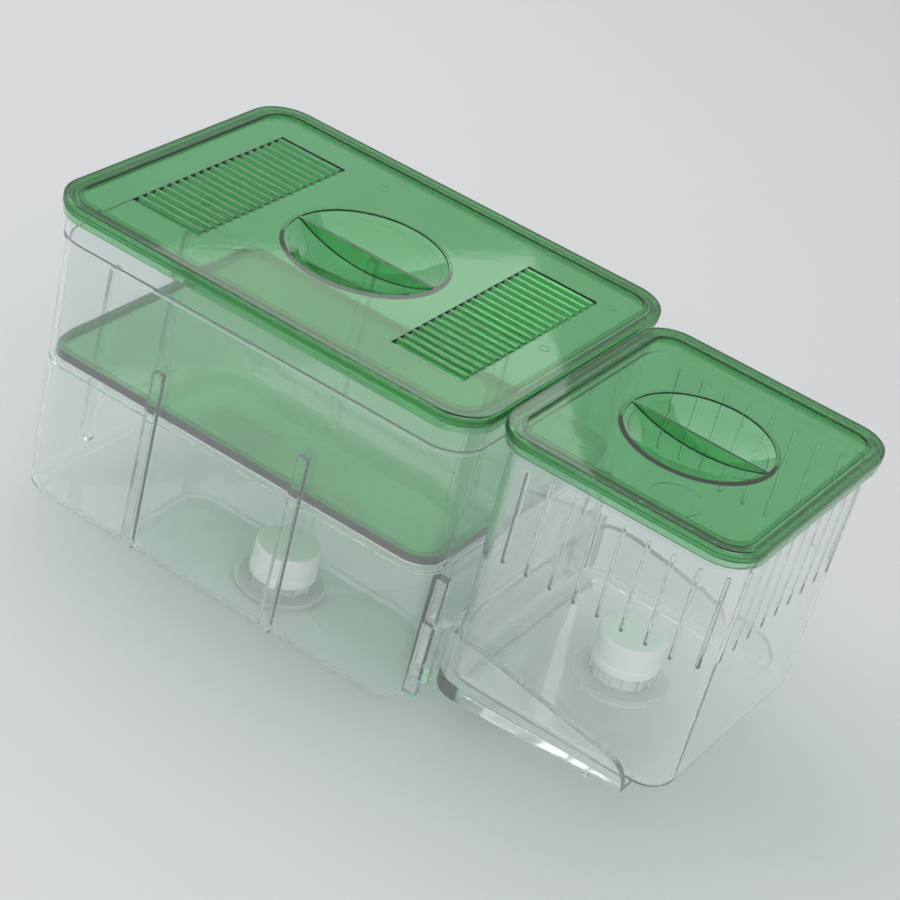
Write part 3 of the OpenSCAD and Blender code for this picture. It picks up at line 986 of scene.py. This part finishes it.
def moulded(name, first, second, roughness, wear, wave, transmission, ior=1.49, depth=None, density=0.0,
            passes=None):
    """Moulded plastic.

    A depth colour tints the light by the thickness that it goes through, at a density per metre.
    A plastic that passes light lets it straight through to what stands behind it, in that tint.
    """
    finish = Finish(bpy.data.materials.new(name))
    inputs = skin(finish, first, second, roughness, wear, wave)
    inputs.update({"IOR": ior, "Transmission Weight": transmission})
    shader = finish.add("ShaderNodeBsdfPrincipled", {}, inputs)
    if passes:
        straight = (finish.add("ShaderNodeLightPath", output="Is Shadow Ray")
                    + finish.add("ShaderNodeLightPath", output="Is Diffuse Ray"))
        clear = finish.add("ShaderNodeBsdfTransparent", {}, {"Color": (*passes, 1)})
        shader = finish.add("ShaderNodeMixShader", {}, {0: straight, 1: shader, 2: clear})
    ends = {"Surface": shader}
    if depth:
        tint = {"Color": (*depth, 1), "Density": density}
        ends["Volume"] = finish.add("ShaderNodeVolumeAbsorption", {}, tint)
    finish.add("ShaderNodeOutputMaterial", {}, ends)
    return finish.owner


CLEAR = moulded("clear_plastic", (0.96, 0.975, 0.98), (0.98, 0.988, 0.99), 0.01, 0.05, 0.03, 0.93,
                depth=(0.60, 0.85, 0.90), density=5, passes=(0.96, 0.97, 0.97))
GREEN = moulded("green_plastic", (0.76, 0.93, 0.76), (0.84, 0.95, 0.84), 0.02, 0.08, 0.02, 0.97,
                depth=(0.14, 0.74, 0.33), density=880, passes=(0.94, 0.86, 0.92))
MILKY = moulded("milky_plastic", (0.93, 0.94, 0.93), (0.97, 0.98, 0.97), 0.3, 0.15, 0.02, 0.15, 1.46)
FROSTED = moulded("frosted_plastic", (0.93, 0.95, 0.94), (0.97, 0.98, 0.98), 0.12, 0.2, 0.02, 0.45, 1.46)
SEAL = moulded("seal", (0.80, 0.82, 0.81), (0.87, 0.88, 0.87), 0.4, 0.15, 0.02, 0.3, 1.41)


def dress(piece, material, body, node):
    """Gives a finished piece its material and the body it rides on."""
    piece.data.materials.clear()
    piece.data.materials.append(material)
    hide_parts(node)
    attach(piece, body)


BIG_FLOOR = FLOOR_T
SMALL_FLOOR = SMALL_FOOT + FLOOR_T
SMALL_SEAT_Z = -FLOOR_T - WASHER_T - FLANGE_T

dress(make_large_tub(), CLEAR, "large_box", "large_tub")
dress(make_small_tub(), CLEAR, "small_box", "small_tub")
dress(make_cradle(), CLEAR, "cradle", "cradle")
dress(make_large_lid(), GREEN, "large_lid", "large_lid")
dress(make_small_lid(), GREEN, "small_lid", "small_lid")
dress(make_tray(), GREEN, "separator_tray", "separator_tray")
dress(make_drain_seat("large_seat_moulding", BIG_DRAIN, BIG_FLOOR, WASHER_T, FOOT_LIFT - FLOOR_T),
      FROSTED, "large_box", "large_drain_seat")
dress(make_drain_seat("small_seat_moulding", SMALL_DRAIN, SMALL_FLOOR, SMALL_SEAT_Z, SMALL_SEAT_Z),
      FROSTED, "small_box", "small_drain_seat")
dress(make_drain_cap("large_cap_moulding", BIG_DRAIN, BIG_FLOOR),
      MILKY, "large_drain_cap", "large_drain_cap")
dress(make_drain_cap("small_cap_moulding", SMALL_DRAIN, SMALL_FLOOR),
      MILKY, "small_drain_cap", "small_drain_cap")
dress(make_washer("large_seal_ring", "large_drain_washer", BIG_DRAIN),
      SEAL, "large_box", "large_drain_washer")
dress(make_washer("small_seal_ring", "small_drain_washer", SMALL_DRAIN),
      SEAL, "small_box", "small_drain_washer")


# Floor, light and camera

def make_floor():
    bpy.ops.object.select_all(action="DESELECT")
    bpy.ops.mesh.primitive_plane_add(size=8)
    floor = settle("floor")
    finish = Finish(bpy.data.materials.new("pale_floor"))
    inputs = {"Base Color": (0.68, 0.69, 0.70, 1), "Roughness": 0.7, "Specular IOR Level": 0.2}
    shader = finish.add("ShaderNodeBsdfPrincipled", {}, inputs)
    finish.add("ShaderNodeOutputMaterial", {}, {"Surface": shader})
    floor.data.materials.append(finish.owner)


def make_world():
    """Pale at the horizon and darker overhead, so that clear edges read against it."""
    world = bpy.data.worlds.new("studio")
    bpy.context.scene.world = world
    finish = Finish(world)
    direction = finish.add("ShaderNodeTexCoord", output="Generated")
    height = finish.add("ShaderNodeSeparateXYZ", {}, {"Vector": direction}, output="Z")
    stops = [(0.0, (0.85, 0.86, 0.87)), (0.35, (0.70, 0.71, 0.72)), (0.8, (0.30, 0.30, 0.31))]
    colour = finish.add("ShaderNodeValToRGB", {"stops": stops}, {"Fac": height})
    shader = finish.add("ShaderNodeBackground", {}, {"Color": colour, "Strength": 1.0})
    finish.add("ShaderNodeOutputWorld", {}, {"Surface": shader})


def softbox(name, spot, aim_z, side, watts):
    """A square lamp that looks at a height over the middle of the floor."""
    data = bpy.data.lights.new(name, "AREA")
    data.shape = "SQUARE"
    data.size = side
    data.energy = watts
    light = bpy.data.objects.new(name, data)
    light.location = spot
    light.rotation_euler = (aim_z * Z_AXIS - Vector(spot)).to_track_quat("-Z", "Y").to_euler()
    bpy.context.scene.collection.objects.link(light)


def make_camera():
    """The photograph's view: a long lens from the front right, turned about its own axis."""
    spot = Vector((387.97, -800.78, 609.8)) * MM
    azimuth, elevation, roll = (math.radians(a) for a in (25.68, 31.18, 15.415))
    data = bpy.data.cameras.new("camera")
    data.sensor_width = 36
    data.lens = 106.51
    camera = bpy.data.objects.new("camera", data)
    turn = (Matrix.Rotation(azimuth, 4, "Z") @ Matrix.Rotation(math.radians(90) - elevation, 4, "X")
            @ Matrix.Rotation(roll, 4, "Z"))
    camera.matrix_world = Matrix.Translation(spot) @ turn
    bpy.context.scene.collection.objects.link(camera)
    bpy.context.scene.camera = camera


make_floor()
make_world()
softbox("key", (-0.5, 0.35, 1.2), 0.05, 1.5, 9.5)
softbox("fill", (0.85, -0.85, 0.85), 0.07, 1.2, 6)
softbox("glint", (-0.45, -0.45, 1.1), 0.13, 0.35, 2)
make_camera()
bpy.context.scene.view_settings.view_transform = "Standard"
